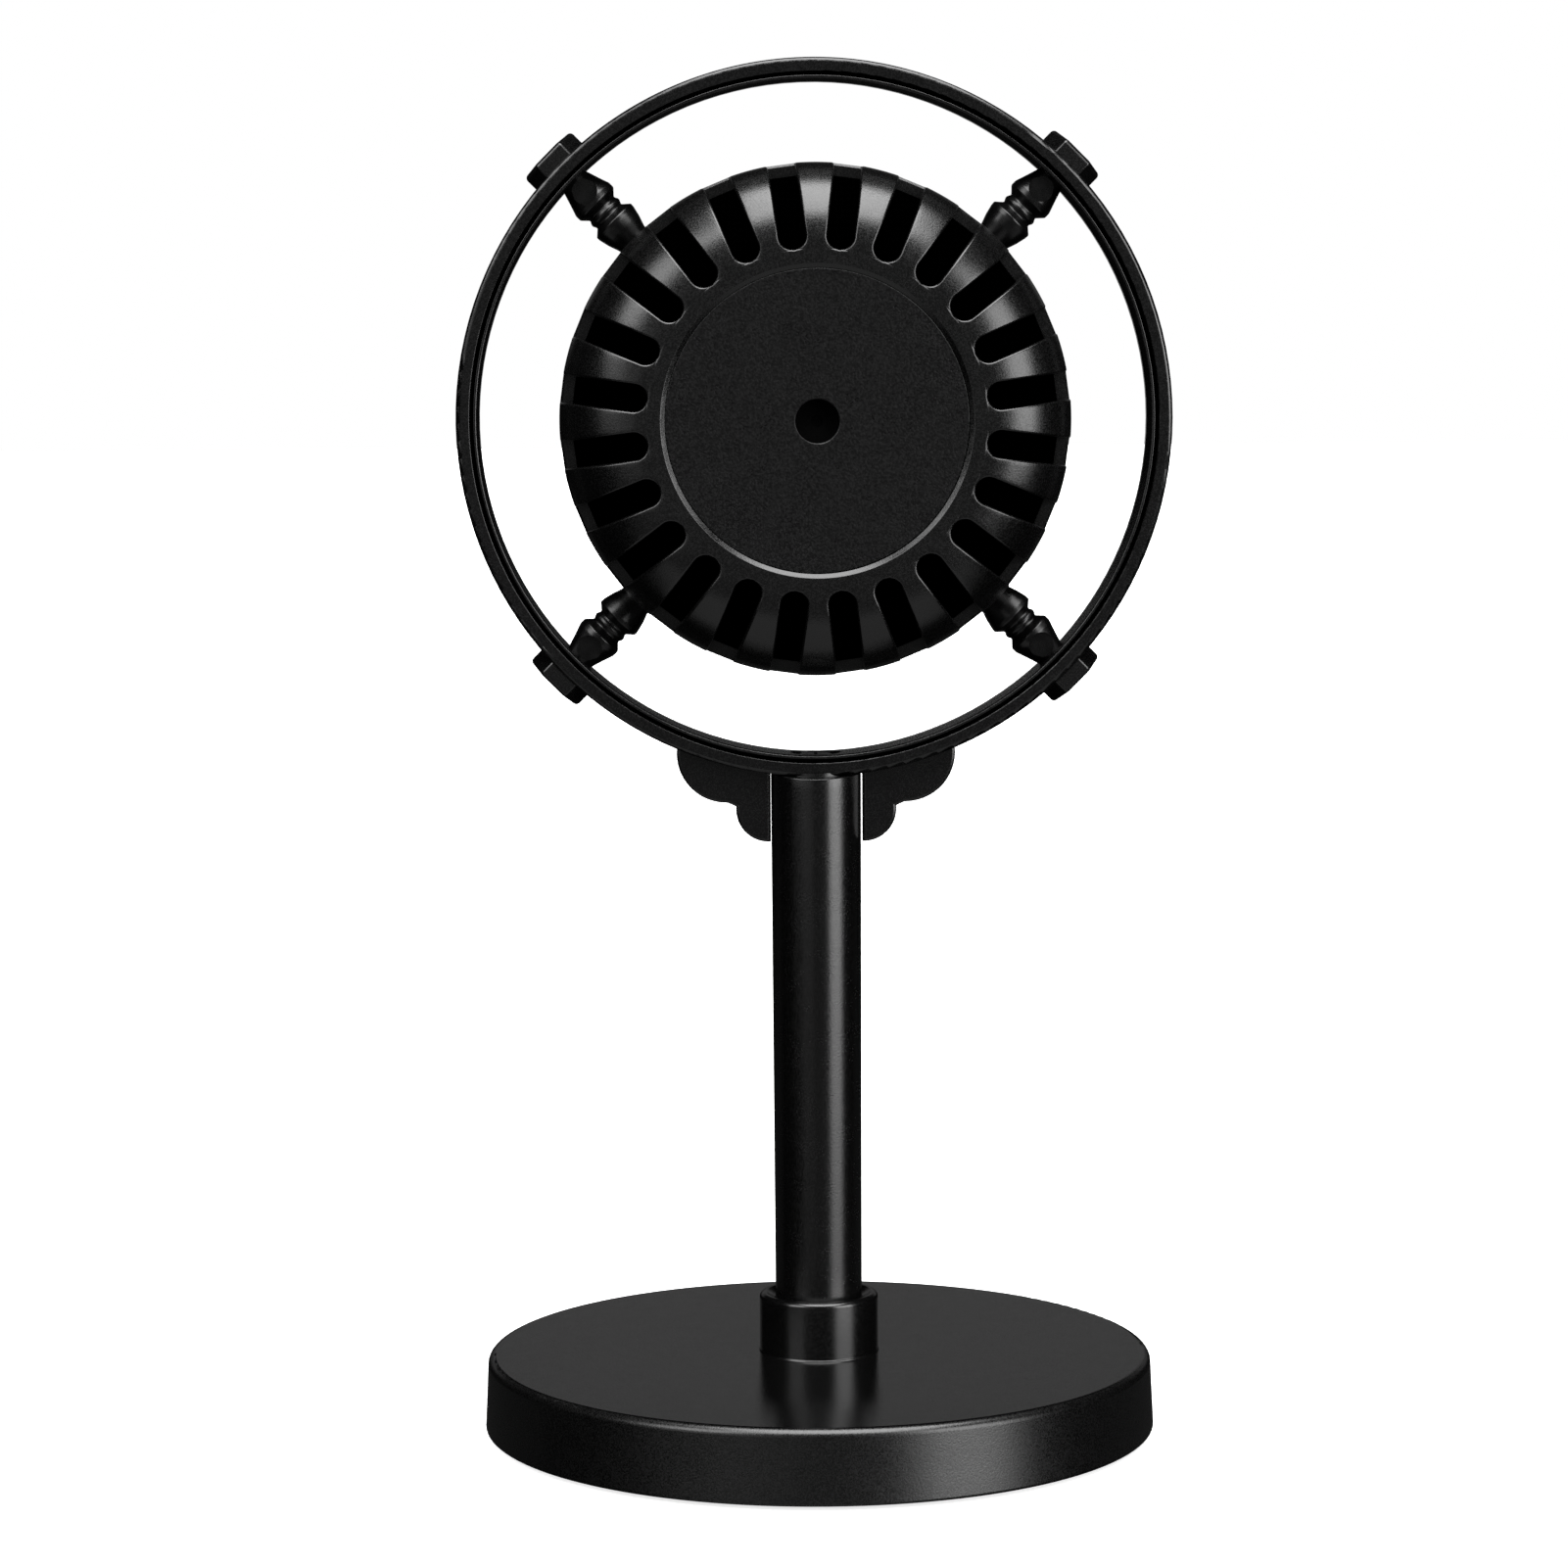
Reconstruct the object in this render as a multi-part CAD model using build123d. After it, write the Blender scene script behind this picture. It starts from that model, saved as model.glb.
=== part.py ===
from build123d import *
import math
import os

# Desktop microphone: a round slotted head hung in a ring by four turned posts, on a stem that
# swivels in the collar of a weighted round base.
# Millimetres. +Z up, the microphone faces -Y, +X is to the right seen from the front.
# The origin is the centre of the foot pad's underside.

# ---------------------------------------------------------------- driving dimensions
FIT = 0.05                    # radial clearance of a close fit
SEAT = 0.02                   # gap left between two curved faces that seat on each other

BASE_BOTTOM_R = 57.3          # outer radius of the base at its lower edge
BASE_TOP_R = 56.7             # outer radius at the top, before the edge is rounded
BASE_BOTTOM_Z = 0.7           # the shell's lower edge stands this far above the surface
BASE_TOP_Z = 13.2
BASE_EDGE_R = 1.4             # rounding of the base's top edge
BASE_WALL = 2.3

COLLAR_R = 10.15
COLLAR_TOP_Z = 23.3
COLLAR_EDGE_R = 1.4

STEM_TOP_R = 7.65
STEM_FOOT_R = 7.4
STEM_BORE_R = 5.95
SPIGOT_R = 6.4                # the stem's lower bearing, which turns in the collar
SPIGOT_BORE_R = 4.6
STEM_END_Z = 4.45

RING_Z = 172.5                # height of the ring's and the head's centre
RING_R = 60.0                 # outer radius of the ring
RING_BORE_R = 56.4
RING_HALF_DEPTH = 5.5
RING_EDGE_R = 0.8
RING_SEAM = -3.2              # the joint between the ring's halves, measured forward
GROOVE_IN_R = 57.05           # the narrow groove round the ring's front face
GROOVE_OUT_R = 57.65
GROOVE_DEPTH = 0.7
BEAD_SETBACK = 0.3            # the bead inside the groove stands this far behind the front face
BEAD_EDGE_R = 0.4

HEAD_R = 42.5
HEAD_DOME_R = 13.8            # the front edge of the head is a quarter circle of this radius
HEAD_DOME_W = 10.0            # where that quarter circle starts, measured forward
HEAD_SEAM_W = -4.0            # the joint between the front and the rear cover
HEAD_WALL = 2.1
HEAD_REAR_W = -17.5
HEAD_REAR_EDGE_R = 9.0
DISC_R = 24.95                # the recessed discs in the head's front and rear faces
DISC_RECESS = 0.5
LIP_W = 0.7                   # width of the sloping lip round the front disc
SOUND_HOLE_R = 3.6

SLOT_COUNT = 24
SLOT_W = 4.56
SLOT_INNER_R = 28.0           # inner end of each slot
SLOT_FLOOR_W = 8.6            # the slots' outer ends stop on the side wall here

POST_ANGLES = {"upper_right": 45, "lower_right": 135, "lower_left": 225, "upper_left": 315}
LEAD_POST = "lower_right"     # the hollow post that carries the lead
STUD_R = 1.9
NUT_AF = 9.6                  # ring nuts, across flats
NUT_H = 2.7
LEAD_R = 0.5

# ---------------------------------------------------------------- derived sizes
FACE_W = HEAD_DOME_W + HEAD_DOME_R
INNER_R = HEAD_R - HEAD_WALL
FLAT_R = HEAD_R - HEAD_DOME_R
PLATE_FRONT_W = FACE_W - DISC_RECESS
PLATE_T = 1.2
PLATE_BACK_W = PLATE_FRONT_W - PLATE_T
FLOOR_T = 1.1                 # front cover's thickness behind the disc
FLOOR_BACK_W = PLATE_BACK_W - FLOOR_T
CHANNEL_IN_R = RING_BORE_R + 0.8
CHANNEL_OUT_R = RING_R - 0.9
CHANNEL_MID_R = (CHANNEL_IN_R + CHANNEL_OUT_R) / 2
LUG_SEAT_R = INNER_R - 0.75   # where the posts' fasteners bear inside the head
CEILING_Z = BASE_TOP_Z - BASE_WALL


# ---------------------------------------------------------------- helpers
def turned(points, radii=0.0):
    """A solid of revolution about Z from (radius, height) points, with a rounding for each corner."""
    if not isinstance(radii, (list, tuple)):
        radii = [radii] * len(points)
    corners = [(r, 0, z) for r, z in points]
    if any(radii):
        outline = FilletPolyline(*corners, radius=list(radii), close=True)
    else:
        outline = Polyline(*corners, close=True)
    return revolve(make_face(outline), Axis.Z)


def cylinder(radius, low, high, x=0.0, y=0.0):
    """A cylinder along Z between two heights."""
    return Pos(x, y, (low + high) / 2) * Cylinder(radius, high - low)


def tube(outer, inner, low, high, x=0.0, y=0.0):
    """A hollow cylinder along Z between two heights."""
    return cylinder(outer, low, high, x, y) - cylinder(inner, low - 1, high + 1, x, y)


def block(x_range, y_range, z_range):
    """A box between pairs of limits."""
    lows, highs = zip(x_range, y_range, z_range)
    centre = [(a + b) / 2 for a, b in zip(lows, highs)]
    sides = [b - a for a, b in zip(lows, highs)]
    return Pos(*centre) * Box(*sides)


def hexagon(across_flats, low, high):
    """A hexagonal prism along Z, with a flat facing -Y and one facing +Y."""
    outline = RegularPolygon(across_flats / 2, 6, major_radius=False)
    return Pos(0, 0, low) * extrude(outline, high - low)


def on_face(shape):
    """From the head's own frame (X right, Y up, Z forward, from the ring's centre) to the object's."""
    return Pos(0, 0, RING_Z) * Rot(90, 0, 0) * shape


def on_spoke(shape, angle):
    """From a post's own frame (Z outward from the ring's centre, Y backward) to the object's."""
    return Pos(0, 0, RING_Z) * Rot(0, angle, 0) * shape


def along_head(radius, half_length=30.0):
    """A cylinder about the head's axis, written in a post's own frame."""
    return Rot(90, 0, 0) * Cylinder(radius, 2 * half_length)


def polar(count, radius, start=0.0):
    """Evenly spaced points on a circle."""
    steps = [math.radians(start + 360 * i / count) for i in range(count)]
    return [(radius * math.cos(a), radius * math.sin(a)) for a in steps]


def screw(head_r, head_h, shank_r, length, drive_r, upward=False):
    """A pan-head screw with a cross drive: its head bears on Z = 0 and its shank points down, or up."""
    body = turned(
        [(0, -length), (shank_r * 0.6, -length), (shank_r, -length + shank_r), (shank_r, 0),
         (head_r, 0), (head_r, head_h), (0, head_h)],
        [0, 0, 0, 0, 0, head_h * 0.45, 0],
    )
    arm = drive_r * 0.36
    for turn in (0, 90):
        cross = block((-drive_r, drive_r), (-arm / 2, arm / 2), (head_h * 0.35, head_h + 1))
        body -= Rot(0, 0, turn) * cross
    return Rot(180, 0, 0) * body if upward else body


# ---------------------------------------------------------------- base
PLATE_Z = (1.0, 2.8)          # the bottom plate's underside and top
PLATE_R = BASE_BOTTOM_R - BASE_WALL - 0.35
PAD_R = (39.0, 53.0)
PAD_GROOVE = 0.5
BASE_SCREW_R = 33.0
BALLAST_R = (19.0, 50.0)
BALLAST_T = 3.4
BALLAST_RIB_R = (45.2, 46.8)  # the bottom plate's rib that holds the ballast up
BOARD_BAY = ((-12, 12), (30, 60), (0, 20))      # kept clear of rib and ballast for the board
MOULD_RINGS = (14.0, 24.0)    # shallow rings moulded into the bottom plate
BASE_BOSS_R = 3.0
COUNTERSINK_R = 2.9
JACK_Z = 6.9
JACK_BORE_R = 1.8
JACK_BORE_LENGTH = 14.0
JACK_TIP_Y = 56.6
JACK_NOZZLE_R = 2.9
JACK_BODY = ((-5.75, 5.75), (41.9, 53.8), (4.6, 9.2))
BOARD_BOX = ((-9.0, 9.0), (36.5, 52.6), (3.4, 4.6))
BOARD_SCREWS = [(-7.0, 39.8), (7.0, 39.8)]
COLLAR_SPIGOT_R = 8.8
COLLAR_END_Z = 6.25
COLLAR_NUT_AF = 24.0
COLLAR_NUT_H = 2.6
COLLAR_FIT = 0.06             # radial clearance of the turning stem
SHOULDER_Z = 13.5             # the collar's inner shoulder, which carries the stem
WASHER_T = 1.0
STOP_R = (14.8, 17.0)         # the stop rib under the base's top
STOP_TAB_R = 16.5
STOP_WASHER_Z = (5.36, 6.14)
CLIP_Z = (4.79, 5.27)
CLIP_R = 8.3
CLIP_GROOVE_DEPTH = 0.8
KEY_FLAT_X = 5.3              # the flat on the stem's end that turns the stop washer


def make_base_shell():
    bottom, top = BASE_BOTTOM_Z, BASE_TOP_Z
    inner_r = BASE_BOTTOM_R - BASE_WALL
    shell = turned(
        [(COLLAR_SPIGOT_R + FIT, CEILING_Z), (inner_r - 0.4, CEILING_Z), (inner_r, bottom),
         (BASE_BOTTOM_R, bottom), (BASE_TOP_R, top), (COLLAR_SPIGOT_R + FIT, top)],
        [0, 0.8, 0.3, 0.5, BASE_EDGE_R, 0],
    )
    for x, y in polar(4, BASE_SCREW_R, 45):
        shell += tube(BASE_BOSS_R, 1.1, PLATE_Z[1] + 0.3, CEILING_Z + 0.2, x, y)
    shell += block((-1.5, 1.5), STOP_R, (4.6, CEILING_Z + 0.2))
    shell -= Pos(0, JACK_TIP_Y, JACK_Z) * Rot(90, 0, 0) * Cylinder(JACK_NOZZLE_R + 0.15, 12)
    return shell


def make_bottom_plate():
    low, high = PLATE_Z
    plate = turned(
        [(0, low), (PAD_R[0] - 0.2, low), (PAD_R[0] - 0.2, low + PAD_GROOVE),
         (PAD_R[1] + 0.2, low + PAD_GROOVE), (PAD_R[1] + 0.2, low), (PLATE_R, low),
         (PLATE_R, high), (0, high)]
    )
    inner, outer = BALLAST_RIB_R
    plate += tube(outer, inner, high - 0.1, CEILING_Z - BALLAST_T - 0.15) - block(*BOARD_BAY)
    for x, y in BOARD_SCREWS:
        plate += cylinder(2.4, high - 0.1, BOARD_BOX[2][0], x, y)
        plate -= cylinder(0.75, low + 0.6, BOARD_BOX[2][0] + 1, x, y)
    for x, y in polar(4, BASE_SCREW_R, 45):
        plate -= cylinder(1.5, 0, high + 1, x, y)
        sink = turned([(0, -1), (COUNTERSINK_R, -1), (COUNTERSINK_R, 0.1), (1.5, 1.2), (0, 1.2)])
        plate -= Pos(x, y, low) * sink
    for radius in MOULD_RINGS:
        plate -= tube(radius + 0.6, radius - 0.6, low - 1, low + 0.5)
    return plate


def make_foot_pad():
    inner, outer = PAD_R
    top = PLATE_Z[0] + PAD_GROOVE
    return turned([(inner, 0), (outer, 0), (outer, top), (inner, top)], [0.4, 0.4, 0, 0])


def make_base_screws():
    """Countersunk screws up through the bottom plate into the shell's bosses."""
    low = PLATE_Z[0] + 0.12
    head_r = COUNTERSINK_R - 0.15
    tip = CEILING_Z - 0.55
    one = turned([(0, low), (head_r, low), (1.1, low + 1.1), (1.08, tip - 0.6), (0.6, tip), (0, tip)])
    for turn in (0, 90):
        one -= Rot(0, 0, turn) * block((-1.5, 1.5), (-0.28, 0.28), (0, low + 0.8))
    return Compound([Pos(x, y, 0) * one for x, y in polar(4, BASE_SCREW_R, 45)])


def make_ballast():
    inner, outer = BALLAST_R
    low = CEILING_Z - BALLAST_T - 0.05
    disc = tube(outer, inner, low, CEILING_Z - 0.05) - block(*BOARD_BAY)
    for x, y in polar(4, BASE_SCREW_R, 45):
        disc -= cylinder(BASE_BOSS_R + 0.5, 0, 20, x, y)
    return disc


def make_collar():
    inner = STEM_FOOT_R + COLLAR_FIT
    return turned(
        [(SPIGOT_R + COLLAR_FIT, COLLAR_END_Z), (COLLAR_SPIGOT_R, COLLAR_END_Z),
         (COLLAR_SPIGOT_R, BASE_TOP_Z), (COLLAR_R, BASE_TOP_Z), (COLLAR_R, COLLAR_TOP_Z),
         (inner + 0.4, COLLAR_TOP_Z), (inner, COLLAR_TOP_Z - 2.0), (inner, SHOULDER_Z),
         (SPIGOT_R + COLLAR_FIT, SHOULDER_Z)],
        [0.2, 0.3, 0, 0.25, COLLAR_EDGE_R, 0.4, 0, 0, 0],
    )


def make_collar_nut():
    low = CEILING_Z - COLLAR_NUT_H
    corner = COLLAR_NUT_AF / math.sqrt(3)
    nut = hexagon(COLLAR_NUT_AF, low, CEILING_Z - 0.02)
    nut &= turned([(0, low), (corner - 0.7, low), (corner, low + 0.6), (corner, CEILING_Z), (0, CEILING_Z)])
    return nut - cylinder(COLLAR_SPIGOT_R + FIT, 0, 20)


def make_friction_washer():
    return tube(STEM_FOOT_R - 0.05, SPIGOT_R + 0.2, SHOULDER_Z, SHOULDER_Z + WASHER_T)


def make_base_board():
    board = block(*BOARD_BOX)
    for x, y in BOARD_SCREWS:
        board -= cylinder(1.1, 0, 9, x, y)
    return board


def make_board_screws():
    one = screw(1.8, 1.2, 0.72, 2.4, 1.1)
    return Compound([Pos(x, y, BOARD_BOX[2][1]) * one for x, y in BOARD_SCREWS])


def make_jack_socket():
    body = block(*JACK_BODY)
    nozzle_back = JACK_BODY[1][1] - 1
    nozzle = turned(
        [(0, nozzle_back), (JACK_NOZZLE_R, nozzle_back), (JACK_NOZZLE_R, JACK_TIP_Y), (0, JACK_TIP_Y)],
        [0, 0, 0.3, 0],
    )
    body += Pos(0, 0, JACK_Z) * Rot(-90, 0, 0) * nozzle
    bore = cylinder(JACK_BORE_R, JACK_TIP_Y - JACK_BORE_LENGTH, JACK_TIP_Y + 1)
    return body - Pos(0, 0, JACK_Z) * Rot(-90, 0, 0) * bore


# ---------------------------------------------------------------- lead
LEAD_JOIN_Z = 7.2             # the two leads meet here on the swivel's axis
LEAD_DROP_X = 3.8             # the lead's place in the yoke's spigot
LEAD_BEND_R = 2.7
BOARD_BACK_W = 10.6           # rear face of the capsule's board
SPIGOT_LENGTH = 12.0          # the ring's spigot inside the stem's top


def swept(path, radius):
    """A round bar along a path."""
    return sweep(Plane(origin=path @ 0, z_dir=path % 0) * Circle(radius), path=path)


def polar_point(radius, clockwise):
    """A point in the ring's own frame, by its angle clockwise from the top."""
    a = math.radians(clockwise)
    return Vector(radius * math.sin(a), radius * math.cos(a), 0)


def lead_path():
    """Along the head's axis, out through the hollow post, down the ring's channel and the stem."""
    spoke = POST_ANGLES[LEAD_POST]
    bend = LEAD_BEND_R
    along = math.sqrt((CHANNEL_MID_R - bend) ** 2 - bend**2)
    first_turn = math.degrees(math.atan2(bend, along))
    start_arc = polar_point(along, spoke)
    centre = polar_point(math.hypot(along, bend), spoke + first_turn)
    on_channel = polar_point(CHANNEL_MID_R, spoke + first_turn)
    toward = (start_arc + on_channel) * 0.5 - centre
    middle = centre + toward.normalized() * bend

    below = Vector(LEAD_DROP_X + bend, -math.sqrt((CHANNEL_MID_R + bend) ** 2 - (LEAD_DROP_X + bend) ** 2), 0)
    leave = below.normalized() * CHANNEL_MID_R
    down = Vector(LEAD_DROP_X, below.Y, 0)
    toward_low = (leave + down) * 0.5 - below
    low_middle = below + toward_low.normalized() * bend
    leave_angle = math.degrees(math.atan2(leave.X, leave.Y))
    channel_middle = polar_point(CHANNEL_MID_R, (spoke + first_turn + leave_angle) / 2)

    inside = FilletPolyline(
        (0, 0, BOARD_BACK_W), (0, 0, 0), tuple(start_arc), radius=6.0
    )
    stem = FilletPolyline(
        tuple(down), (LEAD_DROP_X, 95 - RING_Z, 0), (0, 50 - RING_Z, 0),
        (0, LEAD_JOIN_Z + 0.05 - RING_Z, 0), radius=60.0,
    )
    pieces = inside.edges() + [
        ThreePointArc(start_arc, middle, on_channel).edge(),
        ThreePointArc(on_channel, channel_middle, leave).edge(),
        ThreePointArc(leave, low_middle, down).edge(),
    ] + stem.edges()
    return Wire(pieces)


def make_signal_lead():
    return on_face(swept(lead_path(), LEAD_R))


def make_base_lead():
    low, high = PLATE_Z[1] + 0.9, BOARD_BOX[2][1] + 1.8
    path = FilletPolyline(
        (0, 0, LEAD_JOIN_Z), (0, 0, low), (0, 29, low), (0, 37.5, high), (0, JACK_BODY[1][0], high),
        radius=[2.8, 8.0, 4.0],
    )
    return swept(Wire(path.edges()), LEAD_R)


# ---------------------------------------------------------------- stem
def make_stem():
    shoulder = SHOULDER_Z + WASHER_T + 0.05
    top = RING_Z - RING_R + 1.0
    straight = COLLAR_TOP_Z + 0.6
    stem = turned(
        [(SPIGOT_BORE_R, STEM_END_Z), (SPIGOT_R - 0.3, STEM_END_Z), (SPIGOT_R, STEM_END_Z + 0.3),
         (SPIGOT_R, shoulder), (STEM_FOOT_R, shoulder), (STEM_FOOT_R, straight),
         (STEM_TOP_R, top), (STEM_BORE_R, top), (STEM_BORE_R, shoulder + 4), (SPIGOT_BORE_R, shoulder + 2)]
    )
    groove_top = CLIP_Z[1] + 0.04
    stem -= tube(SPIGOT_R + 1, SPIGOT_R - CLIP_GROOVE_DEPTH, CLIP_Z[0] - 0.04, groove_top)
    stem -= block((KEY_FLAT_X, 8), (-8, 8), (groove_top, STOP_WASHER_Z[1] + 0.06))
    stem -= Pos(0, 0, RING_Z) * along_head(RING_R + SEAT)
    return stem


def make_stop_washer():
    """A keyed washer whose tab meets the rib under the base's top at each end of the swivel."""
    low, high = STOP_WASHER_Z
    washer = cylinder(CLIP_R + 0.3, low, high) + block((-2, 2), (-STOP_TAB_R, 0), (low, high))
    hole = cylinder(SPIGOT_R + FIT, 0, 9) - block((KEY_FLAT_X + FIT, 9), (-9, 9), (0, 9))
    return washer - hole


def make_retaining_clip():
    clip = tube(CLIP_R, SPIGOT_R - CLIP_GROOVE_DEPTH + FIT, *CLIP_Z)
    return clip - block((-3.2, 3.2), (0, 12), (0, 9))


# ---------------------------------------------------------------- ring
WEB_T = 3.5
WEB_GAP_LEFT = 0.05           # hairline gaps between the webs and the stem
WEB_GAP_RIGHT = 0.2
BIG_LOBE = (15.2, -56.3, 8.4)     # centre x, centre y, radius in the ring's own frame
SMALL_LOBE = (8.1, -65.9, 5.5)
LOBE_FILLET = 1.0
WEB_EDGE_R = 0.6
EJECTOR = (11.1, -63.0, 2.1)
BLOCK_HALF = 6.0              # half the width of the solid stretch at the ring's lowest point
RING_WALL_FRONT = 1.2         # thickness of the ring in front of its channel
TONGUE_W = -2.3               # front edge of the rear half's tongue, which enters the channel
STEM_SCREW_SEAT = 1.3         # depth of the screw's recess in the ring's bore
STEM_SCREW_R = 4.3
SCREW_PILOT_R = 1.27


def make_web(gap):
    """A scalloped gusset to the right of the stem, in the ring's own frame."""
    inner = STEM_TOP_R + gap
    big_x, big_y, big_r = BIG_LOBE
    small_x, small_y, small_r = SMALL_LOBE
    fill = Polyline(
        (inner, -58.4), (inner, small_y - small_r + 0.05), (small_x, small_y - small_r + 0.05),
        (small_x + small_r * 0.9, small_y + 0.3), (big_x, big_y - big_r + 0.1), (big_x + 6.0, -55.0),
        close=True,
    )
    outline = make_face(fill) + Pos(big_x, big_y) * Circle(big_r) + Pos(small_x, small_y) * Circle(small_r)
    outline &= Pos(inner + 20, -68) * Rectangle(40, 40)
    outline -= Circle(CHANNEL_OUT_R + 0.3)
    notch = outline.vertices().sort_by_distance((small_x + small_r + 0.6, big_y - big_r))[0]
    outline = fillet(notch, LOBE_FILLET)
    web = Pos(0, 0, -WEB_T / 2) * extrude(outline, WEB_T)
    rim = [e for e in web.edges() if abs(abs(e.center().Z) - WEB_T / 2) < 1e-6]
    rim = [e for e in rim if e.center().length > CHANNEL_OUT_R + 0.5]
    web = fillet(rim, WEB_EDGE_R)
    x, y, radius = EJECTOR
    return web - cylinder(radius, WEB_T / 2 - 0.12, WEB_T, x, y)


def spigot_block():
    """Solid stretch of the ring at its lowest point, with the spigot that enters the stem."""
    stretch = tube(CHANNEL_OUT_R + 0.1, CHANNEL_IN_R - 0.1, TONGUE_W + 0.1, RING_HALF_DEPTH - 1)
    stretch &= block((-BLOCK_HALF, BLOCK_HALF), (-RING_R, 0), (-9, 9))
    radius = STEM_BORE_R - FIT
    spigot = Pos(0, -RING_R - SPIGOT_LENGTH / 2, 0) * Rot(90, 0, 0) * Cylinder(radius, SPIGOT_LENGTH + 2)
    spigot -= cylinder(CHANNEL_OUT_R + 0.3, RING_SEAM, 9)
    spigot -= cylinder(RING_R + SEAT, -9, RING_SEAM)
    return stretch + spigot


def stem_screw_recess():
    """The round recess in the ring's bore for the stem screw's head."""
    return Pos(0, -RING_BORE_R - STEM_SCREW_SEAT + 5, 0) * Rot(90, 0, 0) * Cylinder(STEM_SCREW_R, 10)


def make_ring_front():
    half = RING_HALF_DEPTH
    bead = half - BEAD_SETBACK
    ring = turned(
        [(RING_BORE_R, RING_SEAM), (CHANNEL_IN_R, RING_SEAM), (CHANNEL_IN_R, half - RING_WALL_FRONT),
         (CHANNEL_OUT_R, half - RING_WALL_FRONT), (CHANNEL_OUT_R, RING_SEAM), (RING_R, RING_SEAM),
         (RING_R, half), (GROOVE_OUT_R, half), (GROOVE_OUT_R, half - GROOVE_DEPTH),
         (GROOVE_IN_R, half - GROOVE_DEPTH), (GROOVE_IN_R, bead), (RING_BORE_R, bead)],
        [0, 0, 0, 0, 0, 0, RING_EDGE_R, 0.2, 0, 0, 0.15, BEAD_EDGE_R],
    )
    ring = ring + make_web(WEB_GAP_RIGHT) + mirror(make_web(WEB_GAP_LEFT), Plane.YZ) + spigot_block()
    stud_hole = Pos(0, (RING_R + RING_BORE_R) / 2, 0) * Rot(90, 0, 0) * Cylinder(STUD_R + FIT, 9)
    for angle in POST_ANGLES.values():
        ring -= Rot(0, 0, -angle) * stud_hole
    ring -= stem_screw_recess()
    ring -= Pos(0, -RING_BORE_R - STEM_SCREW_SEAT - 5, 0) * Rot(90, 0, 0) * Cylinder(SCREW_PILOT_R, 12)
    low = [e for e in lead_path().edges() if -2 * RING_R < e.center().Y < -CHANNEL_MID_R * 0.96]
    ring -= swept(Wire(low), LEAD_R + 0.2)
    return on_face(ring)


def make_ring_rear():
    half = RING_HALF_DEPTH
    cap = turned(
        [(RING_BORE_R, -half), (RING_R, -half), (RING_R, RING_SEAM - 0.02), (RING_BORE_R, RING_SEAM - 0.02)],
        [RING_EDGE_R, RING_EDGE_R, 0, 0],
    )
    tongue = tube(CHANNEL_OUT_R - 0.1, CHANNEL_IN_R + 0.1, RING_SEAM - 0.2, TONGUE_W)
    tongue -= block((-BLOCK_HALF - 0.3, BLOCK_HALF + 0.3), (-RING_R, 0), (-9, 9))
    return on_face(cap + tongue - stem_screw_recess())


def make_stem_screw():
    """Down through the recess in the ring's bore into the spigot."""
    one = screw(2.9, 1.2, 1.25, 9.0, 1.7)
    return Pos(0, 0, RING_Z - RING_BORE_R - STEM_SCREW_SEAT) * one


# ---------------------------------------------------------------- posts
# (distance from the ring's centre, radius) along a post, from the head outward
POST_PROFILE = [
    (41.5, 2.75), (43.0, 3.0), (44.7, 3.6), (46.4, 4.0), (47.1, 4.05), (48.2, 2.8),
    (49.05, 3.25), (49.9, 2.8), (51.1, 3.95), (52.1, 3.95), (54.0, 3.3), (57.5, 2.2),
]
POST_ROUNDING = [0, 3.0, 6.0, 1.5, 0.35, 0.3, 0.6, 0.3, 0.5, 1.2, 8.0, 0]
SPOT = (53.9, 2.15, 2.45)     # flat moulded spot: distance out, radius, distance in front of the axis


def make_post(name):
    """A turned post with two bulbs and a neck, its stud through the ring, and a bore at the head."""
    profile = [(r, z) for z, r in POST_PROFILE]
    low, high = profile[0][1], profile[-1][1]
    outline = [(0, low)] + profile + [(0, high)]
    body = turned(outline, [0] + POST_ROUNDING + [0])
    body &= along_head(RING_BORE_R - SEAT)
    body -= along_head(HEAD_R + SEAT)
    distance, radius, forward = SPOT
    body -= Pos(0, -forward - 3, distance) * Rot(90, 0, 0) * Cylinder(radius, 6)
    body += cylinder(STUD_R, RING_BORE_R - 2, RING_R + NUT_H - 0.9)
    if name == LEAD_POST:
        body += cylinder(STUD_R, INNER_R - 2.6, HEAD_R + 1)
        body -= cylinder(LEAD_R + 0.4, 30, CHANNEL_MID_R + 0.9)
        window = (CHANNEL_MID_R - LEAD_BEND_R - 0.9, CHANNEL_MID_R + 0.9)
        side = block((0, 6), (-LEAD_R - 0.4, LEAD_R + 0.4), window)
        body -= side & cylinder(STUD_R + 0.1, 50, 62)
    else:
        body -= cylinder(1.2, HEAD_R - 1, HEAD_R + 7)
    return on_spoke(body, POST_ANGLES[name])


def make_ring_nuts():
    top = RING_R + NUT_H
    nut = hexagon(NUT_AF, RING_R - 1, top)
    nut = fillet(nut.faces().sort_by(Axis.Z)[-1].edges(), 0.9)
    nut -= along_head(RING_R + SEAT)
    nut -= cylinder(STUD_R + FIT, 50, top - 0.8)
    return Compound([on_spoke(nut, angle) for angle in POST_ANGLES.values()])


def make_post_screws():
    """From inside the head into the three solid posts."""
    one = Pos(0, 0, LUG_SEAT_R) * screw(2.5, 1.5, 1.15, 6.5, 1.5, upward=True)
    angles = [angle for name, angle in POST_ANGLES.items() if name != LEAD_POST]
    return Compound([on_spoke(one, angle) for angle in angles])


def make_lead_post_nut():
    nut = hexagon(5.2, LUG_SEAT_R - 1.6, LUG_SEAT_R) - cylinder(STUD_R + FIT, 30, 50)
    return on_spoke(nut, POST_ANGLES[LEAD_POST])


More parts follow.
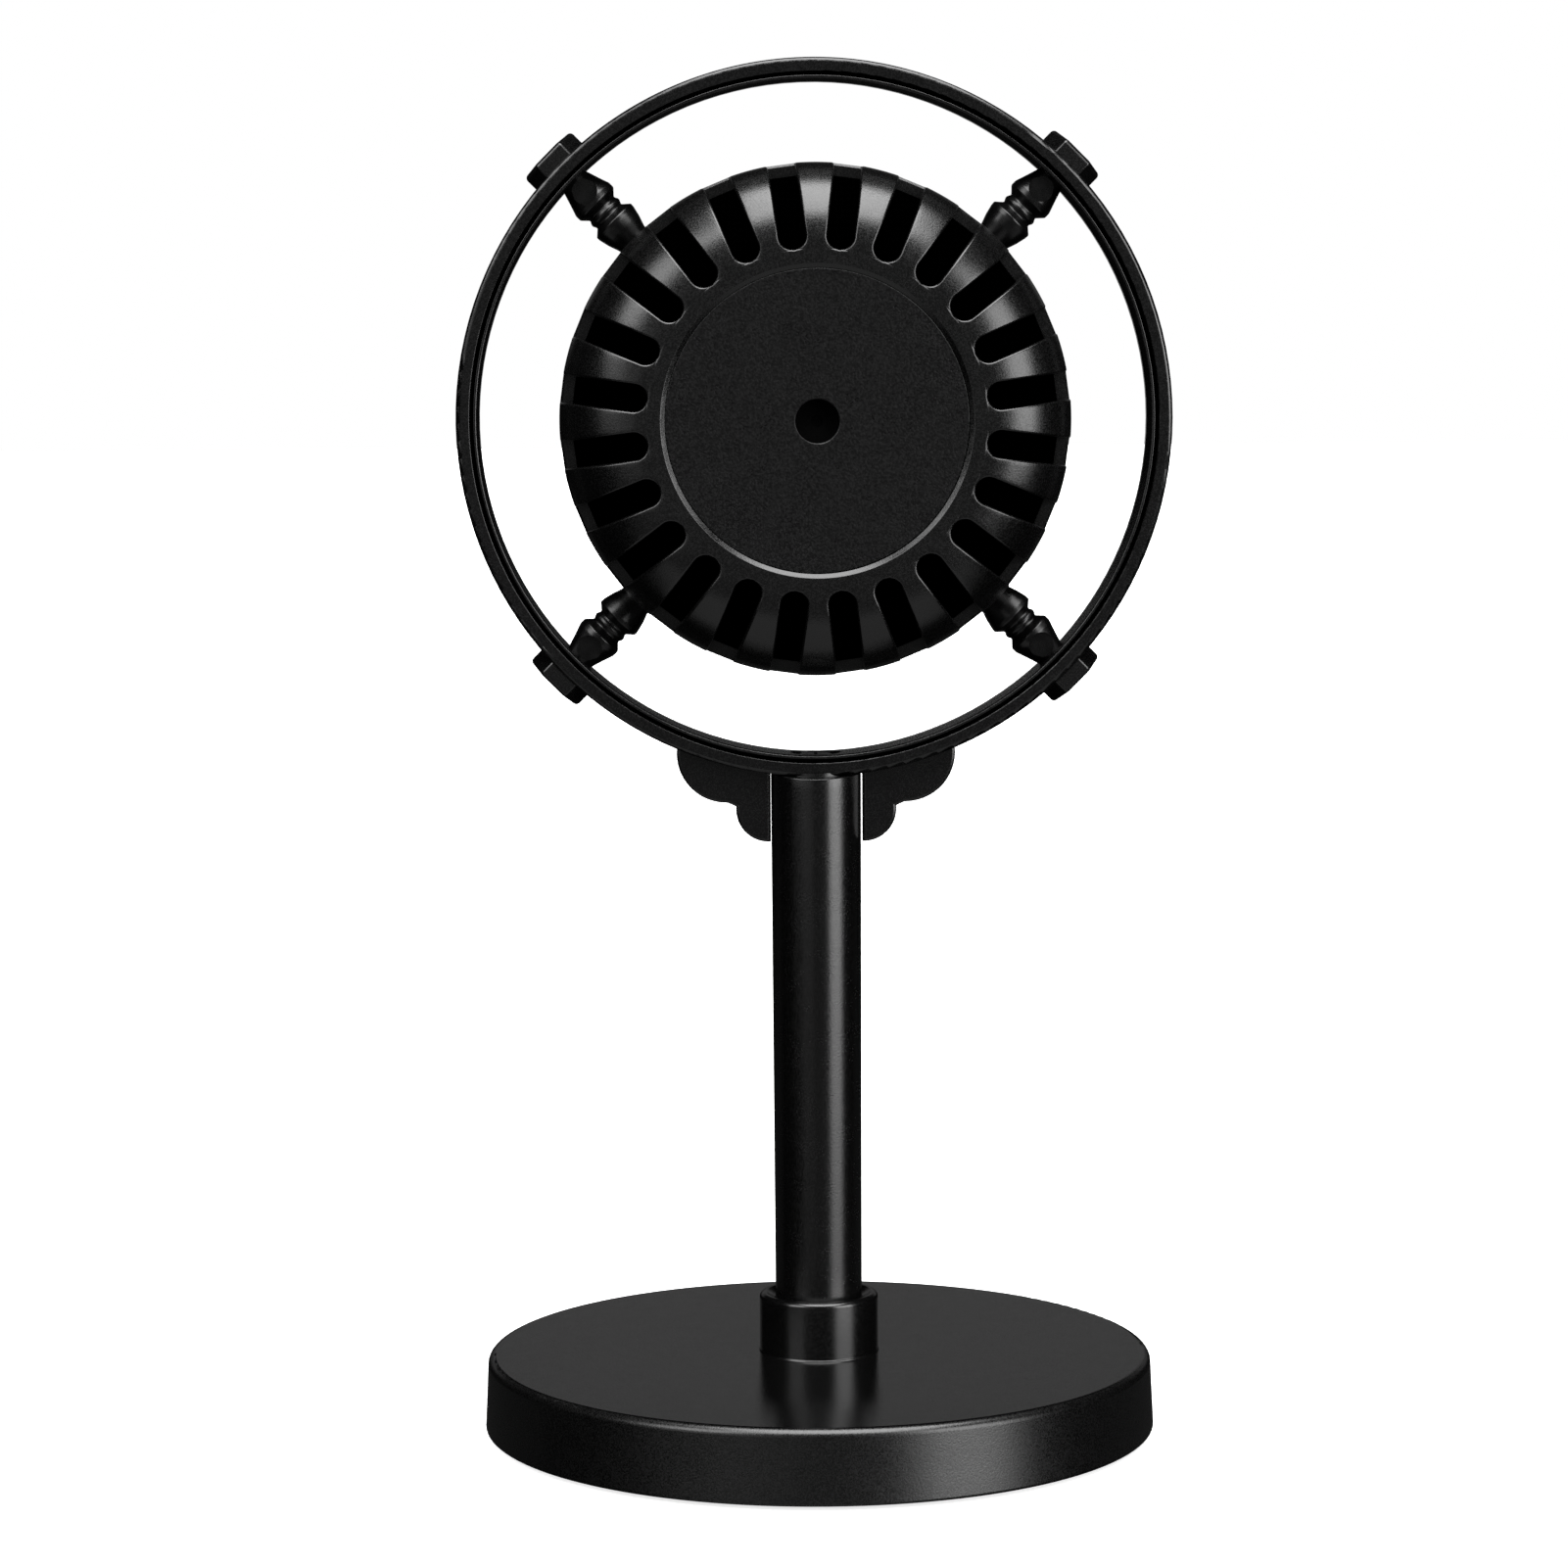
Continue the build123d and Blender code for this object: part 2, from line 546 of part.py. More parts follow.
# ---------------------------------------------------------------- head
COVER_SCREW_R = 21.0          # the cover screws' circle
COVER_BOSS_R = 3.4
LUG_R = 5.0                   # the thickened patches inside the head behind the posts
CAPSULE_R = 4.85
CAPSULE_W = (13.6, 20.3)
GROMMET_R = 6.5


def slot_cutter():
    """One stadium-ended slot on the +X spoke, cut straight back from the front."""
    start = SLOT_INNER_R + SLOT_W / 2
    cut = cylinder(SLOT_W / 2, SLOT_FLOOR_W, FACE_W + 2, start)
    return cut + block((start, HEAD_R + 4), (-SLOT_W / 2, SLOT_W / 2), (SLOT_FLOOR_W, FACE_W + 2))


def make_front_cover():
    inner_dome = HEAD_DOME_R - HEAD_WALL
    cover = turned(
        [(0, FLOOR_BACK_W), (DISC_R + 1.2, FLOOR_BACK_W), (DISC_R + 1.2, FACE_W - HEAD_WALL),
         (INNER_R, FACE_W - HEAD_WALL), (INNER_R, HEAD_SEAM_W), (HEAD_R, HEAD_SEAM_W),
         (HEAD_R, FACE_W), (DISC_R + LIP_W, FACE_W), (DISC_R, PLATE_FRONT_W), (DISC_R, PLATE_BACK_W),
         (0, PLATE_BACK_W)],
        [0, 0, 0, inner_dome, 0, 0.3, HEAD_DOME_R - 0.01, 0.2, 0, 0, 0],
    )
    cutter = slot_cutter()
    for i in range(SLOT_COUNT):
        cover -= Rot(0, 0, (i + 0.5) * 360 / SLOT_COUNT) * cutter
    cover += tube(GROMMET_R + 1.4, GROMMET_R + FIT, CAPSULE_W[0] - 0.4, FLOOR_BACK_W + 0.2)
    for x, y in polar(4, COVER_SCREW_R, 90):
        cover += tube(COVER_BOSS_R - 0.4, 1.1, -2.0, FLOOR_BACK_W + 0.2, x, y)
    cover -= cylinder(SOUND_HOLE_R, 0, FACE_W + 1)
    for angle in POST_ANGLES.values():
        spoke = Rot(0, 0, -angle) * Pos(0, HEAD_R - 3, 0) * Rot(90, 0, 0)
        lug = spoke * Cylinder(LUG_R, 4.2)
        lug &= tube(INNER_R + 0.2, LUG_SEAT_R + 0.25, HEAD_SEAM_W + 1.3, LUG_R + 1)
        cover += lug
        cover -= spoke * Cylinder(STUD_R + FIT, 12)
    return on_face(cover)


def make_centre_plate():
    plate = turned(
        [(SOUND_HOLE_R, PLATE_BACK_W), (DISC_R - 0.08, PLATE_BACK_W), (DISC_R - 0.08, PLATE_FRONT_W),
         (SOUND_HOLE_R, PLATE_FRONT_W)],
        [0, 0, 0.15, 0.2],
    )
    return on_face(plate)


def make_acoustic_cloth():
    """A thin domed screen just behind the slots."""
    thick, gap = 0.6, 0.25
    outer_r, outer_w = INNER_R - gap, FACE_W - HEAD_WALL - gap
    bend = HEAD_DOME_R - HEAD_WALL - gap
    inner = DISC_R + 1.6
    cloth = turned(
        [(inner, outer_w - thick), (outer_r - thick, outer_w - thick), (outer_r - thick, 6.6),
         (outer_r, 6.6), (outer_r, outer_w), (inner, outer_w)],
        [0, bend - thick, 0, 0, bend, 0],
    )
    return on_face(cloth)


def make_capsule():
    low, high = CAPSULE_W
    can = turned([(0, low), (CAPSULE_R, low), (CAPSULE_R, high), (0, high)], [0, 0.3, 0.6, 0])
    can -= cylinder(1.0, high - 0.5, high + 1)
    return on_face(can)


def make_capsule_grommet():
    low, high = CAPSULE_W
    sleeve = turned(
        [(CAPSULE_R + 0.03, low), (GROMMET_R, low), (GROMMET_R, high + 0.5), (CAPSULE_R - 1.2, high + 0.5),
         (CAPSULE_R - 1.2, high + 0.05), (CAPSULE_R + 0.03, high + 0.05)]
    )
    return on_face(sleeve)


def make_capsule_board():
    high = CAPSULE_W[0] - 0.6
    return on_face(cylinder(8.5, BOARD_BACK_W, high) + tube(2.6, 1.2, high - 0.1, CAPSULE_W[0]))


def make_rear_cover():
    wall, rear = HEAD_WALL, HEAD_REAR_W
    lip_r = INNER_R - 0.1
    cover = turned(
        [(0, rear + wall), (INNER_R - 1.5, rear + wall), (INNER_R - 1.5, HEAD_SEAM_W + 1.2),
         (lip_r, HEAD_SEAM_W + 1.2), (lip_r, HEAD_SEAM_W - 0.05), (HEAD_R, HEAD_SEAM_W - 0.05),
         (HEAD_R, rear), (DISC_R, rear), (DISC_R, rear + DISC_RECESS), (0, rear + DISC_RECESS)],
        [0, HEAD_REAR_EDGE_R - wall, 0, 0.2, 0, 0.3, HEAD_REAR_EDGE_R, 0.25, 0, 0],
    )
    for x, y in polar(4, COVER_SCREW_R, 90):
        cover += cylinder(COVER_BOSS_R + 0.6, rear + wall - 0.2, -2.1, x, y)
        cover -= cylinder(2.7, rear - 1, -6.0, x, y)
        cover -= cylinder(1.35, rear, 0, x, y)
    return on_face(cover)


def make_cover_screws():
    one = Pos(0, 0, -6.0) * screw(2.5, 1.6, 1.08, 12.0, 1.5, upward=True)
    return on_face(Compound([Pos(x, y, 0) * one for x, y in polar(4, COVER_SCREW_R, 90)]))


# ---------------------------------------------------------------- assembly
def assembly():
    """Every node's name and shape."""
    nodes = {
        "base_shell": make_base_shell(),
        "bottom_plate": make_bottom_plate(),
        "foot_pad": make_foot_pad(),
        "base_screws": make_base_screws(),
        "base_ballast": make_ballast(),
        "stem_collar": make_collar(),
        "collar_nut": make_collar_nut(),
        "friction_washer": make_friction_washer(),
        "base_board": make_base_board(),
        "board_screws": make_board_screws(),
        "jack_socket": make_jack_socket(),
        "base_lead": make_base_lead(),
        "stem_tube": make_stem(),
        "stop_washer": make_stop_washer(),
        "retaining_clip": make_retaining_clip(),
        "ring_front": make_ring_front(),
        "ring_rear": make_ring_rear(),
        "stem_screw": make_stem_screw(),
        "ring_nuts": make_ring_nuts(),
        "post_screws": make_post_screws(),
        "lead_post_nut": make_lead_post_nut(),
        "front_cover": make_front_cover(),
        "centre_plate": make_centre_plate(),
        "acoustic_cloth": make_acoustic_cloth(),
        "mic_capsule": make_capsule(),
        "capsule_grommet": make_capsule_grommet(),
        "capsule_board": make_capsule_board(),
        "rear_cover": make_rear_cover(),
        "cover_screws": make_cover_screws(),
        "signal_lead": make_signal_lead(),
    }
    for name in POST_ANGLES:
        nodes["post_" + name] = make_post(name)
    return nodes


os.makedirs("parts", exist_ok=True)
for node, shape in assembly().items():
    export_step(shape, "parts/" + node + ".step")
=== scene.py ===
import math

import bmesh
import bpy
from mathutils import Matrix, Quaternion, Vector


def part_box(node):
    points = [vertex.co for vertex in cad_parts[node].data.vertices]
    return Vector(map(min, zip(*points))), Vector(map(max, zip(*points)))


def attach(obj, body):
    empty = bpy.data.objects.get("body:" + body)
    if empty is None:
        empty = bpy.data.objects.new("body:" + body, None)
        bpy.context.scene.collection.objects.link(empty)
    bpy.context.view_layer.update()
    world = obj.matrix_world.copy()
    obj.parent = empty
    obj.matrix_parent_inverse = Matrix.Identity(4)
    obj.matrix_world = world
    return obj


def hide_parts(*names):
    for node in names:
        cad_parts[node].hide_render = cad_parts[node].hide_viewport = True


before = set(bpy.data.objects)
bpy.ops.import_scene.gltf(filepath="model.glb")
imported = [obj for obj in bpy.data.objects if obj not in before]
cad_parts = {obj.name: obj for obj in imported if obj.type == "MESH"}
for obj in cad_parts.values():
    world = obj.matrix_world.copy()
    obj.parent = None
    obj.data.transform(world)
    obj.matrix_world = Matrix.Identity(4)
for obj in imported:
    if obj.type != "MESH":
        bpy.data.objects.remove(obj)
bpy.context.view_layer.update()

MM = 0.001

# ---------------------------------------------------------------- sizes, in millimetres, from the frame


def box_mm(node):
    """Lowest and highest corner of a CAD node, in millimetres."""
    low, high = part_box(node)
    return low / MM, high / MM


ring_low, ring_high = box_mm("ring_rear")
cover_low, cover_high = box_mm("front_cover")
plate_low, plate_high = box_mm("centre_plate")
collar_low, collar_high = box_mm("stem_collar")
stem_low, stem_high = box_mm("stem_tube")
nut_low, nut_high = box_mm("ring_nuts")

RING_R = (ring_high.x - ring_low.x) / 2
RING_Z = (ring_high.z + ring_low.z) / 2
RING_HALF_DEPTH = ring_high.y
GROOVE_IN_R, GROOVE_OUT_R, GROOVE_DEPTH = RING_R - 2.95, RING_R - 2.35, 0.7

# places along the head's axis, whose names end in _W, are measured forward from the ring's centre
HEAD_R = (cover_high.x - cover_low.x) / 2
FACE_W = -cover_low.y
SEAM_W = -cover_high.y
DOME_R = 13.8
DOME_W = FACE_W - DOME_R
WALL = 2.1
INNER_R = HEAD_R - WALL
DISC_R = (plate_high.x - plate_low.x) / 2 + 0.08
LIP_WIDTH = 0.7               # of the sloping lip round the disc
PLATE_FRONT_W = -plate_low.y
PLATE_BACK_W = -plate_high.y
FLOOR_BACK_W = PLATE_BACK_W - 1.1     # back of the floor that the disc is seated on
LIP_EDGE_R = 0.25             # rounding of the lip
SEAT_WALL = 1.2               # thickness of the wall round the disc's seat
FACE_RINGS = (26.4, 27.2)     # rows of vertices on the flat face between the lip and the slots
SEAM_EDGE_R = 0.25            # rounding of the cover's rim at the seam
SOUND_HOLE_R = 3.6

SLOT_COUNT = 24
SLOT_HALF_WIDTH = 2.28
SLOT_INNER_R = 28.0
SLOT_CENTRE_R = SLOT_INNER_R + SLOT_HALF_WIDTH      # where a slot's round inner end is centred
SLOT_FLOOR_W = 8.6
SLOT_EDGE_R = 0.38            # rounding of the slots' front edges
SLOTTED_FROM_R = DISC_R + 2   # rows nearer the axis than this take no notice of the slots
END_ROWS = 9                  # rows of vertices round a slot's inner end

BASE_TOP_Z = box_mm("base_shell")[1].z
COLLAR_R = (collar_high.x - collar_low.x) / 2
COLLAR_TOP_Z = collar_high.z
STEM_TOP_R = (stem_high.x - stem_low.x) / 2
STEM_FOOT_R = STEM_TOP_R - 0.25
STEM_BORE_R = 5.95
SPIGOT_R, SPIGOT_BORE_R = 6.4, 4.6
SHOULDER_Z = 14.55
BORE_STEP_Z = (SHOULDER_Z + 2, SHOULDER_Z + 4)      # the stem's bore widens between these
TAPER_START_Z = COLLAR_TOP_Z + 0.6
STRAIGHT_TOP = 2              # untapered length at the stem's top
COLLAR_SEAT_Z = SHOULDER_Z - 1
SINK_WIDTH, SINK_DEPTH = 1.5, 0.9     # countersink of the collar's mouth
COLLAR_SPIGOT_R = 8.8
COLLAR_END_Z = collar_low.z
NUT_H = 2.7
NUT_AF = nut_high.y - nut_low.y
STUD_BORE_R = 1.95
STUD_COVER = 0.8              # thickness of a nut beyond its stud's bore
NUT_ROOT = 1.0                # how far a nut's blank reaches into the ring before it is cut to seat
NUT_CORNER, NUT_RIM = 0.3, 0.8        # rounding of a nut's upright corners and of its top
RING_CUT = 9                  # half the length of the cylinder that cuts the nuts' seats
SEAT_GAP = 0.02               # gap between two faces that seat on each other
STEM_SEAT_GAP = 0.12          # gap between the stem's top and the ring
STEM_EDGE_R = 0.3
COLLAR_EDGE_R = 0.9
COLLAR_FIT = 0.06             # clearance between the stem and the collar
COLLAR_FLARE = 0.16           # how far the collar's foot spreads on the base
SHADE_STRIP_RECESS = 0.32            # depth of the black strip of painted shade below the ring's face
POST_ANGLES = (45, 135, 225, 315)     # clockwise from the top

TURNS, FELT_TURNS = 224, 360  # steps round a turned piece, and round the felt
ARC_STEP = math.radians(11)   # steps along a rounded corner
SHARP = math.radians(34)      # edges that turn more than this stay sharp

FACE = Matrix(((1, 0, 0, 0), (0, 0, -1, 0), (0, 1, 0, RING_Z), (0, 0, 0, 1)))
UPRIGHT = Matrix.Identity(4)


# ---------------------------------------------------------------- mesh helpers
def bend(before, corner, after, radius):
    """Points round one corner of an outline."""
    corner = Vector(corner)
    if radius <= 0:
        return [corner]
    back = (Vector(before) - corner).normalized()
    ahead = (Vector(after) - corner).normalized()
    half = back.angle(ahead) / 2
    centre = corner + (back + ahead).normalized() * (radius / math.sin(half))
    first = corner + back * (radius / math.tan(half)) - centre
    last = corner + ahead * (radius / math.tan(half)) - centre
    start = math.atan2(first.y, first.x)
    turn = (math.atan2(last.y, last.x) - start + math.pi) % (2 * math.pi) - math.pi
    steps = max(3, math.ceil(abs(turn) / ARC_STEP))
    angles = [start + turn * k / steps for k in range(steps + 1)]
    return [centre + radius * Vector((math.cos(angle), math.sin(angle))) for angle in angles]


def rounded(corners):
    """Points of a closed outline given as (a, b, radius) corners."""
    points = []
    for i, (a, b, radius) in enumerate(corners):
        points += bend(corners[i - 1][:2], (a, b), corners[(i + 1) % len(corners)][:2], radius)
    return points


def turned(corners, turns=TURNS):
    """A solid of revolution about Z from rounded (radius, height, rounding) corners."""
    mesh = bmesh.new()
    rows = []
    for radius, height in rounded(corners):
        if radius < 1e-6:
            rows.append([mesh.verts.new((0, 0, height))] * turns)
        else:
            angles = [2 * math.pi * k / turns for k in range(turns)]
            points = [(radius * math.cos(a), radius * math.sin(a), height) for a in angles]
            rows.append([mesh.verts.new(point) for point in points])
    for i, row in enumerate(rows):
        after = rows[(i + 1) % len(rows)]
        for k in range(turns):
            ring = [row[k], row[(k + 1) % turns], after[(k + 1) % turns], after[k]]
            corners_left = list(dict.fromkeys(ring))
            if len(corners_left) > 2:
                mesh.faces.new(corners_left)
    bmesh.ops.recalc_face_normals(mesh, faces=mesh.faces)
    return mesh


def prism(outline, low, high):
    """A straight prism along Z over a closed outline of 2-D points."""
    mesh = bmesh.new()
    bottom = [mesh.verts.new((p[0], p[1], low)) for p in outline]
    top = [mesh.verts.new((p[0], p[1], high)) for p in outline]
    mesh.faces.new(bottom[::-1])
    mesh.faces.new(top)
    for k in range(len(outline)):
        j = (k + 1) % len(outline)
        mesh.faces.new((bottom[k], bottom[j], top[j], top[k]))
    bmesh.ops.recalc_face_normals(mesh, faces=mesh.faces)
    return mesh


def circle(radius, x=0.0, y=0.0, steps=64):
    """Points of a circle."""
    return [(x + radius * math.cos(2 * math.pi * k / steps), y + radius * math.sin(2 * math.pi * k / steps))
            for k in range(steps)]


def as_object(name, mesh, place=UPRIGHT):
    """A linked object from a bmesh in millimetres."""
    mesh.transform(Matrix.Scale(MM, 4) @ place)
    data = bpy.data.meshes.new(name)
    mesh.to_mesh(data)
    mesh.free()
    made = bpy.data.objects.new(name, data)
    bpy.context.scene.collection.objects.link(made)
    return made


def bake_modifiers(target):
    """Replaces an object's mesh by its evaluated one."""
    evaluated = target.evaluated_get(bpy.context.evaluated_depsgraph_get())
    data = bpy.data.meshes.new_from_object(evaluated)
    target.modifiers.clear()
    target.data = data


def boolean(target, other, place, operation="DIFFERENCE"):
    """Cuts another bmesh out of an object, or joins it on."""
    tool = as_object("tool", other, place)
    modifier = target.modifiers.new("boolean", "BOOLEAN")
    modifier.object, modifier.operation, modifier.solver = tool, operation, "EXACT"
    bake_modifiers(target)
    bpy.data.objects.remove(tool)


def shaded(target):
    """Smooth shading that keeps flats flat and real corners sharp."""
    target.data.shade_smooth()
    target.data.set_sharp_from_angle(angle=SHARP)
    modifier = target.modifiers.new("normals", "WEIGHTED_NORMAL")
    modifier.keep_sharp = True


def piece(target, body, material, slot, *nodes):
    """Gives a piece its material and body, and hides the CAD nodes it stands for; the slot is not used."""
    shaded(target)
    target.data.materials.clear()
    target.data.materials.append(material)
    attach(target, body)
    if nodes:
        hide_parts(*nodes)


# ---------------------------------------------------------------- materials
class Shader:
    """A material's node tree, with short calls for the nodes used here."""

    def __init__(self, name):
        self.material = bpy.data.materials.new(name)
        self.material.use_nodes = True
        self.tree = self.material.node_tree
        self.tree.nodes.clear()
        self.bsdf = self.tree.nodes.new("ShaderNodeBsdfPrincipled")
        self.output = self.tree.nodes.new("ShaderNodeOutputMaterial")
        self.tree.links.new(self.bsdf.outputs["BSDF"], self.output.inputs["Surface"])
        self.place = self.tree.nodes.new("ShaderNodeTexCoord").outputs["Object"]

    def link(self, value, socket):
        """Joins a node's output to a socket, or sets the socket to a plain value."""
        if isinstance(value, bpy.types.NodeSocket):
            self.tree.links.new(value, socket)
        else:
            socket.default_value = value

    def noise(self, size_mm, detail=2.0, roughness=0.5, stretch=None):
        """Noise whose features are about size_mm across."""
        node = self.tree.nodes.new("ShaderNodeTexNoise")
        node.inputs["Scale"].default_value = 1 / (size_mm * MM)
        node.inputs["Detail"].default_value = detail
        node.inputs["Roughness"].default_value = roughness
        vector = self.place
        if stretch:
            mapping = self.tree.nodes.new("ShaderNodeMapping")
            mapping.inputs["Scale"].default_value = stretch
            self.link(vector, mapping.inputs["Vector"])
            vector = mapping.outputs["Vector"]
        self.link(vector, node.inputs["Vector"])
        return node.outputs["Fac"]

    def ramp(self, value, low, high, out_low=0.0, out_high=1.0):
        """Eases from out_low to out_high while the value goes from low to high."""
        node = self.tree.nodes.new("ShaderNodeMapRange")
        node.interpolation_type = "SMOOTHSTEP"
        numbers = {"From Min": low, "From Max": high, "To Min": out_low, "To Max": out_high}
        for name, number in numbers.items():
            node.inputs[name].default_value = number
        self.link(value, node.inputs["Value"])
        return node.outputs["Result"]

    def math(self, operation, first, second=0.0):
        """One Math node."""
        node = self.tree.nodes.new("ShaderNodeMath")
        node.operation = operation
        self.link(first, node.inputs[0])
        self.link(second, node.inputs[1])
        return node.outputs["Value"]

    def mix(self, factor, first, second):
        """A blend of two colours."""
        node = self.tree.nodes.new("ShaderNodeMix")
        node.data_type = "RGBA"
        self.link(factor, node.inputs["Factor"])
        self.link(first, node.inputs["A"])
        self.link(second, node.inputs["B"])
        return node.outputs["Result"]

    def edges(self, low=0.52, high=0.6):
        """1 along convex edges."""
        geometry = self.tree.nodes.new("ShaderNodeNewGeometry")
        return self.ramp(geometry.outputs["Pointiness"], low, high)

    def bump(self, height, depth_mm, normal=None):
        """A normal bumped by a height, on top of another normal if there is one."""
        node = self.tree.nodes.new("ShaderNodeBump")
        node.inputs["Distance"].default_value = depth_mm * MM
        self.link(height, node.inputs["Height"])
        if normal is not None:
            self.link(normal, node.inputs["Normal"])
        return node.outputs["Normal"]

    def set(self, **values):
        """Sets or links sockets of the shader by their names, with _ for each space."""
        for name, value in values.items():
            self.link(value, self.bsdf.inputs[name.replace("_", " ")])


POLISH = 0.16                 # how much smoother the base's top is than its side


def grey(value, tint=1.02):
    return (value, value, value * tint, 1.0)


def moulded_black(name, base=0.0007, roughness=0.28, grain_mm=0.3, grain_depth=0.012, specular=0.5,
                  speckle=0.6, polished_above=None):
    """Black moulded plastic: fine grain, faint flow mottling and lightly rubbed edges."""
    s = Shader(name)
    flow = s.noise(9.0, 3.0, 0.6)
    fine = s.noise(grain_mm, 3.0, 0.6)
    body = s.mix(s.ramp(flow, 0.3, 0.7), grey(base * 0.9), grey(base * 1.1))
    colour = s.mix(s.math("MULTIPLY", s.ramp(fine, 0.38, 0.68), speckle), body, grey(base * 4))
    s.set(Base_Color=s.mix(s.math("MULTIPLY", s.edges(), 0.5), colour, grey(base * 3)))
    uneven = s.ramp(s.noise(3.2, 4.0, 0.6), 0.3, 0.7, roughness - 0.012, roughness + 0.012)
    speckled = s.math("ADD", uneven, s.ramp(fine, 0.35, 0.65, -0.05, 0.05))
    if polished_above:
        height = s.tree.nodes.new("ShaderNodeSeparateXYZ")
        s.link(s.place, height.inputs["Vector"])
        worn = s.ramp(height.outputs["Z"], (polished_above - 0.1) * MM, polished_above * MM, 0.0, POLISH)
        speckled = s.math("SUBTRACT", speckled, worn)
    s.set(Roughness=speckled, Normal=s.bump(fine, grain_depth, s.bump(flow, 0.008)))
    s.set(Specular_IOR_Level=specular)
    return s.material


def gloss_black(name):
    """Glossy black moulded plastic of the turned posts, with faint polishing smears."""
    s = Shader(name)
    smear = s.noise(2.5, 3.0, 0.6)
    s.set(Base_Color=s.mix(s.ramp(smear, 0.3, 0.7), grey(0.0006), grey(0.0015)))
    s.set(Roughness=s.ramp(smear, 0.3, 0.7, 0.24, 0.3), Normal=s.bump(s.noise(0.35, 2.0), 0.004))
    s.set(Specular_IOR_Level=0.36)
    return s.material


def metal(name, colour, roughness=0.3, line_mm=0.25):
    """Plain steel with fine drawn lines and slight discolouration."""
    s = Shader(name)
    lines = s.noise(line_mm, 3.0, 0.6, (1.0, 1.0, 0.15))
    tone = s.ramp(s.noise(6.0, 4.0, 0.6), 0.3, 0.7)
    dark = tuple(c * 0.75 for c in colour[:3]) + (1.0,)
    s.set(Base_Color=s.mix(tone, dark, colour), Metallic=1.0)
    s.set(Roughness=s.ramp(lines, 0.3, 0.7, roughness - 0.06, roughness + 0.08))
    s.set(Normal=s.bump(lines, 0.004))
    return s.material


FELT_CAP = (0.7, 0.8)         # the felt on the capsule ends between these, from its front


def capsule_can(name):
    """A plain aluminium can whose front end is covered with black felt."""
    s = Shader(name)
    split = s.tree.nodes.new("ShaderNodeSeparateXYZ")
    s.link(s.place, split.inputs["Vector"])
    front = box_mm("mic_capsule")[0].y * MM
    felt = s.ramp(split.outputs["Y"], front + FELT_CAP[0] * MM, front + FELT_CAP[1] * MM, 1.0, 0.0)
    fibres = s.noise(0.15, 4.0, 0.7)
    tone = s.mix(s.ramp(s.noise(3.0, 3.0), 0.3, 0.7), (0.5, 0.5, 0.5, 1.0), (0.7, 0.7, 0.7, 1.0))
    s.set(Base_Color=s.mix(felt, tone, grey(0.0004)), Metallic=s.math("SUBTRACT", 1.0, felt))
    s.set(Roughness=s.math("ADD", s.math("MULTIPLY", felt, 0.6), s.ramp(fibres, 0.3, 0.7, 0.25, 0.35)))
    s.set(Normal=s.bump(fibres, 0.02), Specular_IOR_Level=0.05)
    return s.material


def rubber(name, base=0.018):
    """Matt moulded rubber with a dusty bloom."""
    s = Shader(name)
    bloom = s.ramp(s.noise(5.0, 5.0, 0.65), 0.35, 0.7)
    s.set(Base_Color=s.mix(bloom, grey(base), grey(base * 1.8)), Roughness=s.ramp(bloom, 0, 1, 0.62, 0.8))
    s.set(Normal=s.bump(s.noise(0.4, 3.0, 0.6), 0.03))
    return s.material


WEAVE_SCALE = 320             # of the wave texture across and along the cloth


def cloth(name):
    """Open acoustic weave, almost black."""
    s = Shader(name)
    waves = []
    for direction in ("X", "Z"):
        wave = s.tree.nodes.new("ShaderNodeTexWave")
        wave.bands_direction = direction
        wave.inputs["Scale"].default_value = WEAVE_SCALE
        wave.inputs["Distortion"].default_value = 1.2
        s.link(s.place, wave.inputs["Vector"])
        waves.append(wave.outputs["Fac"])
    weave = s.math("MULTIPLY", *waves)
    s.set(Base_Color=s.mix(weave, grey(0.00003), grey(0.0001)), Roughness=s.ramp(weave, 0, 1, 0.85, 0.95))
    s.set(Normal=s.bump(weave, 0.08), Specular_IOR_Level=0.0)
    return s.material


def laminate(name):
    """Solder-masked circuit board with a faint glass weave."""
    s = Shader(name)
    weave = s.noise(0.5, 2.0, 0.5, (1.0, 1.0, 0.4))
    s.set(Base_Color=s.mix(weave, (0.008, 0.07, 0.025, 1.0), (0.02, 0.13, 0.05, 1.0)))
    s.set(Roughness=s.ramp(weave, 0.3, 0.7, 0.25, 0.38), Normal=s.bump(weave, 0.01))
    return s.material


satin = moulded_black("collar_plastic", roughness=0.21)
ring_satin = moulded_black("ring_plastic", roughness=0.24)
stem_satin = moulded_black("stem_plastic", roughness=0.22, grain_depth=0.02)
base_satin = moulded_black("base_plastic", roughness=0.29, grain_depth=0.02,
                           polished_above=BASE_TOP_Z - 0.02)
head_satin = moulded_black("head_plastic", roughness=0.26, grain_depth=0.024)
nut_satin = moulded_black("nut_plastic", roughness=0.26, grain_depth=0.014)
grained = moulded_black("grained_plastic", base=0.0011, roughness=0.33, grain_mm=0.36,
                        grain_depth=0.08, specular=0.22, speckle=1.0)
underside = moulded_black("underside_plastic", base=0.01, roughness=0.5, grain_mm=0.4, grain_depth=0.02)
socket = moulded_black("socket_plastic", base=0.003, roughness=0.25)
post_gloss = gloss_black("post_plastic")
black_steel = metal("black_steel", (0.05, 0.05, 0.055, 1.0), 0.35)
plated_steel = metal("plated_steel", (0.55, 0.55, 0.52, 1.0), 0.3)
raw_steel = metal("rolled_steel", (0.35, 0.34, 0.33, 1.0), 0.4, line_mm=0.6)
capsule_metal = capsule_can("capsule_can")
foot_rubber = rubber("foot_rubber")
soft_rubber = rubber("grommet_rubber", 0.012)
screen_cloth = cloth("screen_cloth")
board = laminate("board_laminate")

